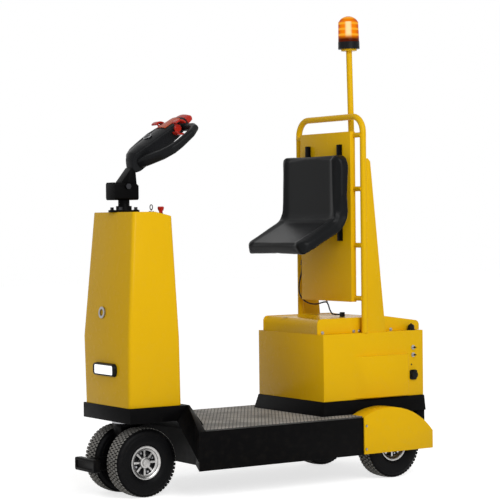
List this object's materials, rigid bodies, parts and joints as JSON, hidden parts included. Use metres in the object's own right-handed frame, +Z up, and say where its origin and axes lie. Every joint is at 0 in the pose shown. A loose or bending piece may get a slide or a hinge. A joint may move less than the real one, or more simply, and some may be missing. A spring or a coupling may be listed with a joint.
{
  "type": "stand-on baggage trolley tug",
  "caption": "Small battery-electric stand-on tug for towing baggage trolleys: steered twin front wheels, tiller column, low deck, perch seat on a hoop, battery box and amber beacon.",
  "frame": {"origin": "on the floor below the centre of the machine's bounding box", "axes": "+X forward to the push plate, +Y to the driver's left, +Z up"},
  "size_m": [1.522, 0.65, 1.836],
  "materials": {
    "yellow_paint": "gloss yellow paint",
    "black_paint": "satin black paint",
    "tyre_rubber": "black rubber, dusty on the tread",
    "rim_silver": "cast silver rim",
    "steel_bright": "bright plated steel",
    "graphite_plastic": "graphite moulding",
    "black_plastic": "black moulding",
    "deck_rubber": "worn ribbed mat, dusty",
    "seat_skin": "moulded foam skin, satin",
    "lamp_lens": "lit white lens",
    "amber_lens": "amber lens",
    "red_plastic": "red moulding",
    "orange_plastic": "orange-red moulded cover",
    "cable_jacket": "black cable jacket",
    "battery_case": "plain battery case"
  },
  "bodies": {
    "chassis": {"nose_tray": "black_paint", "platform": "black_paint", "deck_mat": "deck_rubber", "plinth": "black_paint", "rear_frame": "black_paint", "rear_coupling": "black_paint", "drive_axle": "black_paint", "steering_bearing": "steel_bright", "column_cover": "yellow_paint", "headlamp_bezel": "black_plastic", "headlamp_lens": "lamp_lens", "column_ring": "steel_bright", "steering_flange": "black_paint", "emergency_stop": "red_plastic", "key_switch": "black_plastic", "power_box": "yellow_paint", "box_lid": "yellow_paint", "lid_knob": "black_plastic", "box_switches": "steel_bright", "charge_socket": "black_plastic", "battery_pack": "battery_case", "fender_left": "yellow_paint", "fender_right": "yellow_paint", "hoop_frame": "yellow_paint", "upright_left": "yellow_paint", "upright_right": "yellow_paint", "back_panel": "yellow_paint", "seat_rails": "black_paint", "seat_bracket": "black_paint", "seat": "seat_skin", "beacon_pole": "yellow_paint", "beacon_base": "black_plastic", "beacon_lens": "amber_lens", "seat_cable": "cable_jacket", "cable_gland": "black_plastic", "cable_plug": "black_plastic"},
    "steering": {"steering_shaft": "black_paint", "tiller_bracket": "black_paint", "tiller_pivot": "steel_bright", "steering_yoke": "black_paint", "front_coupling": "black_paint"},
    "tiller": {"tiller_stem": "black_paint", "tiller_head": "graphite_plastic", "tiller_loop_left": "graphite_plastic", "tiller_loop_right": "graphite_plastic", "tiller_button": "red_plastic", "thumb_levers": "red_plastic", "head_cover": "orange_plastic"},
    "front_wheels": {"front_tyre_left": "tyre_rubber", "front_tyre_right": "tyre_rubber", "front_rim_left": "rim_silver", "front_rim_right": "rim_silver", "front_axle": "steel_bright"},
    "rear_wheel_left": {"rear_tyre_left": "tyre_rubber", "rear_rim_left": "rim_silver", "rear_shaft_left": "steel_bright"},
    "rear_wheel_right": {"rear_tyre_right": "tyre_rubber", "rear_rim_right": "rim_silver", "rear_shaft_right": "steel_bright"},
    "pin": {"coupling_pin": "steel_bright"}
  },
  "joints": [
    {"name": "steer", "type": "hinge", "parent": "chassis", "child": "steering", "pos_m": [0.58, 0, 0.7], "axis": [0, 0, 1], "range_deg": [-60, 60]},
    {"name": "tiller_tilt", "type": "hinge", "parent": "steering", "child": "tiller", "pos_m": [0.582, 0, 1.157], "axis": [0, 1, 0], "range_deg": [-25, 35]},
    {"name": "front_roll", "type": "hinge", "parent": "steering", "child": "front_wheels", "pos_m": [0.565, 0, 0.13], "axis": [0, 1, 0], "continuous": true},
    {"name": "rear_left_roll", "type": "hinge", "parent": "chassis", "child": "rear_wheel_left", "pos_m": [-0.48, 0.236, 0.13], "axis": [0, 1, 0], "continuous": true},
    {"name": "rear_right_roll", "type": "hinge", "parent": "chassis", "child": "rear_wheel_right", "pos_m": [-0.48, -0.236, 0.13], "axis": [0, 1, 0], "continuous": true},
    {"name": "pin_lift", "type": "slide", "parent": "chassis", "child": "pin", "axis": [0, 0, 1], "range_m": [0, 0.08]}
  ]
}
